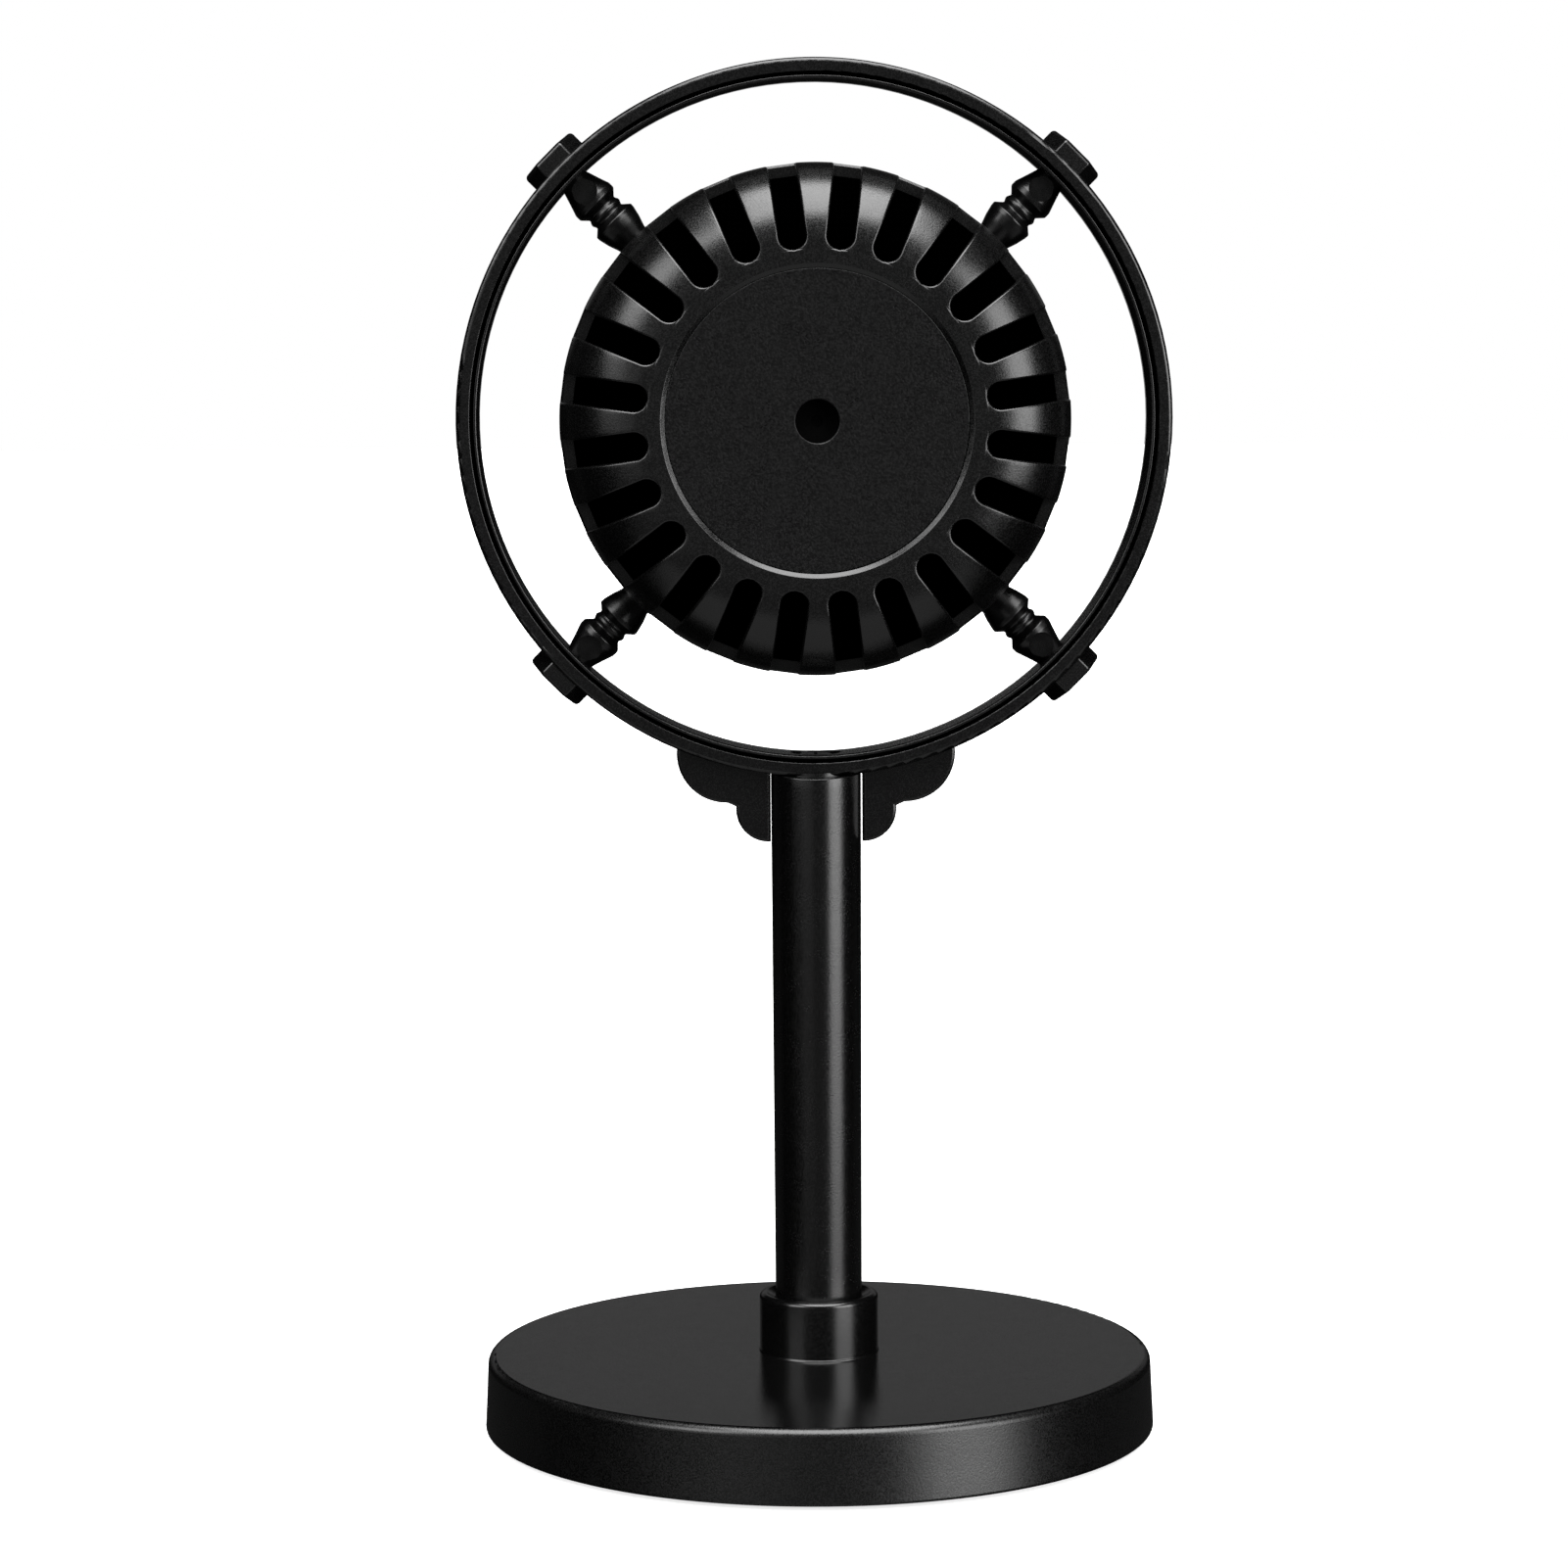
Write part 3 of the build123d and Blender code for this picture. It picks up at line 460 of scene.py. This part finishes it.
FINISHES = {
    "base_screws": black_steel, "board_screws": black_steel, "stem_screw": black_steel,
    "post_screws": black_steel, "lead_post_nut": black_steel, "cover_screws": black_steel,
    "retaining_clip": black_steel, "stop_washer": black_steel, "collar_nut": plated_steel,
    "base_ballast": raw_steel, "friction_washer": soft_rubber, "capsule_grommet": soft_rubber,
    "base_board": board, "capsule_board": board, "jack_socket": socket, "base_lead": soft_rubber,
    "signal_lead": soft_rubber, "mic_capsule": capsule_metal, "acoustic_cloth": screen_cloth,
    "foot_pad": foot_rubber, "bottom_plate": underside, "centre_plate": grained,
    "post_upper_left": post_gloss, "post_upper_right": post_gloss, "post_lower_left": post_gloss,
    "post_lower_right": post_gloss, "ring_nuts": nut_satin, "base_shell": base_satin,
    "stem_collar": satin, "stem_tube": stem_satin, "ring_front": ring_satin, "ring_rear": ring_satin,
    "front_cover": head_satin, "rear_cover": head_satin,
}
for node, material in FINISHES.items():
    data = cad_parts[node].data
    data.materials.clear()
    data.materials.append(material)


# ---------------------------------------------------------------- head
def cover_rows():
    """Rows of the front cover's section, each (radius, forward, normal out, normal forward, slotted).

    They run from the sound hole over the face and the dome, down the outside, round the rim at the
    seam and back up the inside.
    """
    edge = SLOT_EDGE_R
    seat_r = DISC_R + SEAT_WALL
    end_steps = [math.radians(90 / (END_ROWS - 1) * k) for k in range(END_ROWS)]
    end_radii = [SLOT_CENTRE_R - SLOT_HALF_WIDTH * math.cos(angle) for angle in end_steps]

    def at_radius(radius, dome_r, front):
        out = radius - (HEAD_R - DOME_R)
        if out <= 0:
            return (radius, front, 0.0, 1.0, True)
        up = math.sqrt(dome_r**2 - out**2)
        return (radius, DOME_W + up, out / dome_r, up / dome_r, True)

    def over_dome(dome_r, steps):
        start = math.asin((SLOT_CENTRE_R - (HEAD_R - DOME_R)) / dome_r)
        for k in range(1, steps + 1):
            a = start + (math.pi / 2 - start) * k / steps
            out, up = math.sin(a), math.cos(a)
            yield (HEAD_R - DOME_R + dome_r * out, DOME_W + dome_r * up, out, up, True)

    rows = [(SOUND_HOLE_R, PLATE_BACK_W, 0.0, 1.0, False), (DISC_R, PLATE_BACK_W, 0.0, 1.0, False),
            (DISC_R, PLATE_FRONT_W, 0.0, 1.0, False)]
    lip = (DISC_R + LIP_WIDTH, FACE_W)
    for radius, forward in bend((DISC_R, PLATE_FRONT_W), lip, (DISC_R + 2, FACE_W), LIP_EDGE_R):
        rows.append((radius, forward, 0.0, 1.0, False))
    for radius in FACE_RINGS:
        rows.append((radius, FACE_W, 0.0, 1.0, False))
    for k in range(5):
        rows.append((SLOT_INNER_R - edge * (1 - k / 5), FACE_W, 0.0, 1.0, False))
    rows += [at_radius(r, DOME_R, FACE_W) for r in end_radii]
    rows += list(over_dome(DOME_R, 18))
    rows += [(HEAD_R, w, 1.0, 0.0, True) for w in (DOME_W - 0.7, SLOT_FLOOR_W)]
    rows += [(HEAD_R, w, 1.0, 0.0, False) for w in (SLOT_FLOOR_W - edge, 4.0, 0.0, SEAM_W + SEAM_EDGE_R)]
    rows += [(HEAD_R - SEAM_EDGE_R, SEAM_W, 0.7, -0.7, False), (INNER_R, SEAM_W, 0.0, -1.0, False)]
    rows += [(INNER_R, SLOT_FLOOR_W, -1.0, 0.0, True)]
    inside = list(over_dome(DOME_R - WALL, 12))
    rows += [(r, w, 0.0, 0.0, True) for r, w, _, _, _ in reversed(inside)]
    rows += [at_radius(r, DOME_R - WALL, FACE_W - WALL)[:2] + (0.0, 0.0, True) for r in reversed(end_radii)]
    rows += [(seat_r, FACE_W - WALL, 0.0, -1.0, False), (seat_r, FLOOR_BACK_W, 0.0, -1.0, False),
             (SOUND_HOLE_R, FLOOR_BACK_W, 0.0, -1.0, False)]
    return rows


def half_angle(radius, slotted):
    """Half the angle that a slot takes up at a radius."""
    if radius >= SLOT_CENTRE_R - 1e-6:
        return math.asin(SLOT_HALF_WIDTH / radius)
    if not slotted:
        return 0.0
    chord = math.sqrt(max(0.0, SLOT_HALF_WIDTH**2 - (SLOT_CENTRE_R - radius) ** 2))
    return math.asin(min(1.0, chord / radius))


def slot_distance(radius, angle):
    """Distance from a point to the nearest slot's edge, measured square to the head's axis."""
    along, across = radius * math.cos(angle), abs(radius * math.sin(angle))
    if along >= SLOT_CENTRE_R:
        return across - SLOT_HALF_WIDTH
    return math.hypot(along - SLOT_CENTRE_R, across) - SLOT_HALF_WIDTH


def make_front_cover():
    """The domed cover as one clean grid: 24 ribs between slots with softly rounded front edges."""
    edge = SLOT_EDGE_R
    steps, half_columns = 4, 3
    pitch = 2 * math.pi / SLOT_COUNT
    mesh = bmesh.new()
    rows = cover_rows()
    outer_count = next(i for i, row in enumerate(rows) if row[0] == INNER_R)
    grid = []
    for index, (radius, forward, out, up, slotted) in enumerate(rows):
        half = half_angle(radius, slotted) if radius > SLOTTED_FROM_R else 0.0
        near = [edge * (1 - math.cos(math.pi / 2 * k / steps)) / radius for k in range(steps + 1)]
        first, last = near[-1], pitch / 2 - half
        spread = [first + (last - first) * k / half_columns for k in range(1, half_columns + 1)]
        left = [half + a for a in near + spread]
        angles = left + [pitch - a for a in reversed(left[:-1])]
        columns = []
        for sector in range(SLOT_COUNT):
            column = []
            for a in angles:
                gap = slot_distance(radius, min(a, pitch - a))
                sunk = 0.0
                lowered = index < outer_count and radius > SLOTTED_FROM_R and forward >= SLOT_FLOOR_W
                if lowered and gap < edge:
                    sunk = edge - math.sqrt(max(0.0, edge**2 - (edge - max(gap, 0.0)) ** 2))
                r, w = radius - out * sunk, forward - up * sunk
                turn = (sector + 0.5) * pitch + a
                column.append(mesh.verts.new((r * math.cos(turn), r * math.sin(turn), w)))
            columns.append(column)
        grid.append(columns)

    def face(*corners):
        corners = list(dict.fromkeys(corners))
        if len(corners) > 2:
            mesh.faces.new(corners)

    for index, row in enumerate(rows):
        after = (index + 1) % len(rows)
        bridged = not (row[4] and rows[after][4])
        for sector in range(SLOT_COUNT):
            a, b = grid[index][sector], grid[after][sector]
            for k in range(len(a) - 1):
                face(a[k], a[k + 1], b[k + 1], b[k])
            if bridged:
                a_next = grid[index][(sector + 1) % SLOT_COUNT]
                b_next = grid[after][(sector + 1) % SLOT_COUNT]
                face(a[-1], a_next[0], b_next[0], b[-1])
    outer_zone = [i for i, row in enumerate(rows) if row[4] and i < outer_count]
    inner_zone = [i for i, row in enumerate(rows) if row[4] and i > outer_count]
    floor_out, floor_in = outer_zone[-1], inner_zone[0]
    for sector in range(SLOT_COUNT):
        ahead = (sector + 1) % SLOT_COUNT
        face(grid[floor_out][sector][-1], grid[floor_out][ahead][0], grid[floor_in][ahead][0],
             grid[floor_in][sector][-1])
        for side in (0, -1):
            for k in range(END_ROWS - 1):
                a, b = outer_zone[k], outer_zone[k + 1]
                c, d = inner_zone[-1 - k], inner_zone[-2 - k]
                face(*(grid[row][sector][side] for row in (a, b, d, c)))
            outline = [grid[i][sector][side] for i in outer_zone[END_ROWS - 1:]]
            outline += [grid[i][sector][side] for i in inner_zone[:len(inner_zone) - END_ROWS + 1]]
            face(*outline)
    bmesh.ops.remove_doubles(mesh, verts=mesh.verts, dist=1e-4)
    bmesh.ops.dissolve_degenerate(mesh, dist=1e-5, edges=mesh.edges)
    bmesh.ops.recalc_face_normals(mesh, faces=mesh.faces)
    cover = as_object("head_front_cover", mesh, FACE)
    piece(cover, "mast", head_satin, "satin_black_plastic", "front_cover")


def make_stem():
    """The tapering tube, its top coped to seat on the ring."""
    seat = RING_R + STEM_SEAT_GAP
    top = RING_Z - seat
    mesh = turned([
        (SPIGOT_BORE_R, stem_low.z, 0), (SPIGOT_R, stem_low.z, STEM_EDGE_R), (SPIGOT_R, SHOULDER_Z, 0),
        (STEM_FOOT_R, SHOULDER_Z, 0), (STEM_FOOT_R, TAPER_START_Z, 0), (STEM_TOP_R, top - STRAIGHT_TOP, 0),
        (STEM_TOP_R, top, STEM_EDGE_R), (STEM_BORE_R, top, 0.2), (STEM_BORE_R, BORE_STEP_Z[1], 0),
        (SPIGOT_BORE_R, BORE_STEP_Z[0], 0),
    ])
    for vertex in mesh.verts:
        if vertex.co.z > top - 1:
            vertex.co.z += RING_Z - math.sqrt(seat**2 - vertex.co.x**2) - top
    piece(as_object("stem_tube_visual", mesh), "mast", stem_satin, "satin_black_plastic", "stem_tube")


def make_collar():
    """The collar, with a rounded top edge, a countersunk mouth and a fine flare at its foot."""
    mouth = STEM_FOOT_R + COLLAR_FIT
    bearing = SPIGOT_R + COLLAR_FIT
    mesh = turned([
        (bearing, COLLAR_END_Z, 0.2), (COLLAR_SPIGOT_R, COLLAR_END_Z, 0.3),
        (COLLAR_SPIGOT_R, BASE_TOP_Z, 0), (COLLAR_R + COLLAR_FLARE, BASE_TOP_Z, 0),
        (COLLAR_R + COLLAR_FLARE - 0.02, BASE_TOP_Z + 0.08, 0), (COLLAR_R, BASE_TOP_Z + 0.3, 0.2),
        (COLLAR_R, COLLAR_TOP_Z, COLLAR_EDGE_R), (mouth + SINK_WIDTH, COLLAR_TOP_Z, 0.4),
        (mouth, COLLAR_TOP_Z - SINK_DEPTH, 0), (mouth, COLLAR_SEAT_Z, 0), (bearing, COLLAR_SEAT_Z, 0),
    ])
    piece(as_object("collar_visual", mesh), "base", satin, "satin_black_plastic", "stem_collar")


def make_groove_shade_strip():
    """A black strip in the bottom of the groove round the ring's face: painted shade that darkens the
    groove.
    """
    inner, outer = GROOVE_IN_R + SEAT_GAP, GROOVE_OUT_R - SEAT_GAP
    low, high = RING_HALF_DEPTH - GROOVE_DEPTH + SEAT_GAP, RING_HALF_DEPTH - SHADE_STRIP_RECESS
    mesh = turned([(inner, low, 0), (outer, low, 0), (outer, high, 0), (inner, high, 0)], FELT_TURNS)
    piece(as_object("ring_groove_painted_shade", mesh, FACE), "mast", screen_cloth, "acoustic_fabric")


def make_nuts():
    """Four hexagon nuts with softened corners, seated on the ring's rim."""
    low, high = RING_R - NUT_ROOT, RING_R + NUT_H
    joined = bmesh.new()
    for angle in POST_ANGLES:
        mesh = prism(circle(NUT_AF / math.sqrt(3), steps=6), low, high)
        upright = [e for e in mesh.edges if abs(e.verts[0].co.z - e.verts[1].co.z) > 1]
        bmesh.ops.bevel(mesh, geom=upright, offset=NUT_CORNER, segments=4, profile=0.5, affect="EDGES")
        rim = [e for e in mesh.edges if min(v.co.z for v in e.verts) > high - 0.01]
        bmesh.ops.bevel(mesh, geom=rim, offset=NUT_RIM, segments=6, profile=0.5, affect="EDGES")
        mesh.transform(Matrix.Rotation(math.radians(angle), 4, "Y"))
        nut = bpy.data.meshes.new("nut")
        mesh.to_mesh(nut)
        mesh.free()
        joined.from_mesh(nut)
        bpy.data.meshes.remove(nut)
    nuts = as_object("ring_nuts_visual", joined, Matrix.Translation((0, 0, RING_Z)))
    boolean(nuts, prism(circle(RING_R + SEAT_GAP, steps=720), -RING_CUT, RING_CUT), FACE)
    for angle in POST_ANGLES:
        spoke = Matrix.Translation((0, 0, RING_Z)) @ Matrix.Rotation(math.radians(angle), 4, "Y")
        boolean(nuts, prism(circle(STUD_BORE_R), low, high - STUD_COVER), spoke)
    piece(nuts, "mast", nut_satin, "satin_black_plastic", "ring_nuts")


make_front_cover()
make_stem()
make_collar()
make_nuts()
# painted shade: a black strip laid in the ring's groove
make_groove_shade_strip()


# ---------------------------------------------------------------- floor, light and camera
FLOOR_GAP = 0.0001            # metres; keeps the floor's face from coinciding with the foot's
FLOOR_REACH = 8               # metres from the middle to each side


def make_floor():
    """A wide white floor, clear from below so that the underside can be seen."""
    mesh = bmesh.new()
    corners = [(x * FLOOR_REACH, y * FLOOR_REACH, 0) for x, y in ((-1, -1), (1, -1), (1, 1), (-1, 1))]
    mesh.faces.new([mesh.verts.new(corner) for corner in corners])
    data = bpy.data.meshes.new("floor")
    mesh.to_mesh(data)
    mesh.free()
    floor = bpy.data.objects.new("floor", data)
    bpy.context.scene.collection.objects.link(floor)
    s = Shader("floor_white")
    s.set(Base_Color=(0.8, 0.8, 0.8, 1.0), Roughness=0.9, Specular_IOR_Level=0.0)
    s.set(Emission_Color=(1.0, 1.0, 1.0, 1.0), Emission_Strength=0.75)
    below = s.tree.nodes.new("ShaderNodeNewGeometry").outputs["Backfacing"]
    choose = s.tree.nodes.new("ShaderNodeMixShader")
    s.link(below, choose.inputs["Fac"])
    s.tree.links.new(s.bsdf.outputs["BSDF"], choose.inputs[1])
    s.tree.links.new(s.tree.nodes.new("ShaderNodeBsdfTransparent").outputs["BSDF"], choose.inputs[2])
    s.tree.links.new(choose.outputs["Shader"], s.output.inputs["Surface"])
    data.materials.append(s.material)
    floor.location.z = -FLOOR_GAP
    floor.visible_glossy = False
    floor.visible_diffuse = False
    floor.visible_shadow = False


# Studio light by direction. Each box is given by its centre's azimuth (0 towards the camera's side,
# growing towards +X) and elevation, how far it reaches left, right, down and up from there, the width
# of its fading edge, all in degrees, and its strength.
SOFTBOXES = {
    "overhead": (0, 74, -21, 29, -31, 22, 8, 10.0),
    "right": (50.5, 12, -18.5, 15.5, -22, 20, 10, 6.8),
    "left": (-47, 31, -15, 15, -14, 16, 8, 5.8),
    "left_strip": (-46, 3, -14, 14, -4, 7, 4, 1.4),
    "low_left": (-22, 0, -11, 11, -5, 6, 6, 0.6),
    "front_fill": (0, -5, -42, 34, -40, 45, 10, 0.122),
    "floor_bounce": (0, -62, -40, 40, -24, 26, 10, 0.42),
    "backdrop": (180, 10, -28, 28, -3, 9, 5, 0.165),
    "rear_floor": (180, -24, -70, 70, -16, 12, 8, 0.026),
}
AMBIENT = 0.0012


def make_world():
    """The softboxes as the world's light, with plain white for what the camera sees behind."""
    world = bpy.data.worlds.new("studio")
    bpy.context.scene.world = world
    world.use_nodes = True
    tree = world.node_tree
    tree.nodes.clear()
    direction = tree.nodes.new("ShaderNodeTexCoord").outputs["Generated"]

    def calculate(operation, first, second=0.0):
        node = tree.nodes.new("ShaderNodeMath")
        node.operation = operation
        for value, slot in zip((first, second), node.inputs):
            if isinstance(value, bpy.types.NodeSocket):
                tree.links.new(value, slot)
            else:
                slot.default_value = value
        return node.outputs["Value"]

    def along(axis):
        node = tree.nodes.new("ShaderNodeVectorMath")
        node.operation = "DOT_PRODUCT"
        tree.links.new(direction, node.inputs[0])
        node.inputs[1].default_value = axis
        return node.outputs["Value"]

    def fade(value, edge, soft):
        """Rises from 0 to 1 as the angle grows past the edge."""
        node = tree.nodes.new("ShaderNodeMapRange")
        node.interpolation_type = "SMOOTHSTEP"
        tree.links.new(value, node.inputs["Value"])
        node.inputs["From Min"].default_value = math.radians(edge - soft / 2)
        node.inputs["From Max"].default_value = math.radians(edge + soft / 2)
        return node.outputs["Result"]

    total = AMBIENT
    for azimuth, elevation, left, right, down, up, soft, strength in SOFTBOXES.values():
        az, el = math.radians(azimuth), math.radians(elevation)
        ahead = along((math.sin(az) * math.cos(el), -math.cos(az) * math.cos(el), math.sin(el)))
        across = along((math.cos(az), math.sin(az), 0.0))
        upward = along((-math.sin(az) * math.sin(el), math.cos(az) * math.sin(el), math.cos(el)))
        a = calculate("ARCTAN2", across, ahead)
        b = calculate("ARCTAN2", upward, ahead)
        from_right = fade(calculate("MULTIPLY", a, -1.0), -right, soft)
        from_top = fade(calculate("MULTIPLY", b, -1.0), -up, soft)
        box = calculate("MULTIPLY", fade(a, left, soft), from_right)
        box = calculate("MULTIPLY", box, fade(b, down, soft))
        box = calculate("MULTIPLY", box, from_top)
        total = calculate("ADD", total, calculate("MULTIPLY", box, strength))
    seen = tree.nodes.new("ShaderNodeLightPath").outputs["Is Camera Ray"]
    white = tree.nodes.new("ShaderNodeBackground")
    studio = tree.nodes.new("ShaderNodeBackground")
    for background in (white, studio):
        background.inputs["Color"].default_value = (1.0, 1.0, 1.0, 1.0)
    tree.links.new(total, studio.inputs["Strength"])
    choose = tree.nodes.new("ShaderNodeMixShader")
    tree.links.new(seen, choose.inputs["Fac"])
    tree.links.new(studio.outputs["Background"], choose.inputs[1])
    tree.links.new(white.outputs["Background"], choose.inputs[2])
    output = tree.nodes.new("ShaderNodeOutputWorld")
    tree.links.new(choose.outputs["Shader"], output.inputs["Surface"])


REAR_LAMP_SIZE = 1.1          # metres
REAR_LAMP_DISTANCE = 0.8      # metres
REAR_LAMP_POWER = 1.6         # watts
REAR_PARTS = ("rear_cover", "cover_screws", "ring_rear", "jack_socket")


def make_rear_lamp():
    """A wide soft light behind the object that reaches only the parts of its rear."""
    data = bpy.data.lights.new("rear_lamp", "AREA")
    data.shape, data.size, data.energy = "SQUARE", REAR_LAMP_SIZE, REAR_LAMP_POWER
    lamp = bpy.data.objects.new("rear_lamp", data)
    bpy.context.scene.collection.objects.link(lamp)
    lamp.location = (0, REAR_LAMP_DISTANCE, RING_Z * MM)
    lamp.rotation_mode = "QUATERNION"
    lamp.rotation_quaternion = Vector((0, -1, 0)).to_track_quat("-Z", "Y")
    lamp.visible_camera = False
    lit = bpy.data.collections.new("rear_parts")
    for node in REAR_PARTS:
        lit.objects.link(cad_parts[node])
    lamp.light_linking.receiver_collection = lit


CAMERA_DISTANCE = 0.7377      # metres from the object's axis, level
CAMERA_HEIGHT = 0.1834        # metres
CAMERA_AZIMUTH = math.radians(-1.45)
CAMERA_PITCH = math.radians(5.62)
CAMERA_PAN = math.radians(0.421)      # turned this far to the left of the object's axis
CAMERA_ROLL = math.radians(-0.36)
LENS_MM = 100.27
SENSOR_MM = 36.0


def make_camera():
    """The camera at the photograph's viewpoint."""
    data = bpy.data.cameras.new("camera")
    data.lens, data.sensor_width = LENS_MM, SENSOR_MM
    camera = bpy.data.objects.new("camera", data)
    bpy.context.scene.collection.objects.link(camera)
    heading = CAMERA_AZIMUTH
    across, back = CAMERA_DISTANCE * math.sin(heading), -CAMERA_DISTANCE * math.cos(heading)
    camera.location = (across, back, CAMERA_HEIGHT)
    yaw = heading + CAMERA_PAN
    look = Vector((-math.sin(yaw) * math.cos(CAMERA_PITCH), math.cos(yaw) * math.cos(CAMERA_PITCH),
                   -math.sin(CAMERA_PITCH)))
    camera.rotation_mode = "QUATERNION"
    camera.rotation_quaternion = look.to_track_quat("-Z", "Y") @ Quaternion((0, 0, 1), CAMERA_ROLL)
    data.clip_start, data.clip_end = 0.01, 100
    bpy.context.scene.camera = camera


make_floor()
make_world()
make_rear_lamp()
make_camera()
scene = bpy.context.scene
scene.view_settings.view_transform = "Standard"
scene.view_settings.look = "None"
